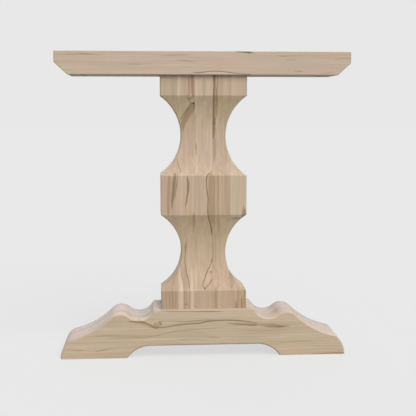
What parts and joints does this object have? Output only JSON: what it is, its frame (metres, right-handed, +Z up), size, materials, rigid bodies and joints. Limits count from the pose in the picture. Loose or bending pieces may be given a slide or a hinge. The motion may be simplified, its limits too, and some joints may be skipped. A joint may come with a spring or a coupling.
{
  "type": "pedestal table base",
  "caption": "Wooden pedestal table base: a sledge foot with an ogee outline, a glued column with a cove on every side, and a bar with chamfered ends that carries the table top.",
  "frame": {"origin": "on the floor, under the middle of the column", "axes": "+X along the top bar and the foot, +Y from the front to the back, +Z up"},
  "size_m": [0.69, 0.114, 0.725],
  "materials": {
    "bar_wood": "bare, sanded",
    "column_wood": "bare, sanded",
    "foot_wood": "bare, sanded",
    "dowel_wood": "bare",
    "screw_steel": "zinc plated"
  },
  "bodies": {
    "root": {"top_bar": "bar_wood", "left_stave": "column_wood", "middle_stave": "column_wood", "right_stave": "column_wood", "left_top_block": "column_wood", "left_middle_block": "column_wood", "left_bottom_block": "column_wood", "right_top_block": "column_wood", "right_middle_block": "column_wood", "right_bottom_block": "column_wood", "foot_front_board": "foot_wood", "foot_middle_board": "foot_wood", "foot_back_board": "foot_wood", "dowels": "dowel_wood", "lag_screws": "screw_steel", "washers": "screw_steel"}
  },
  "joints": []
}
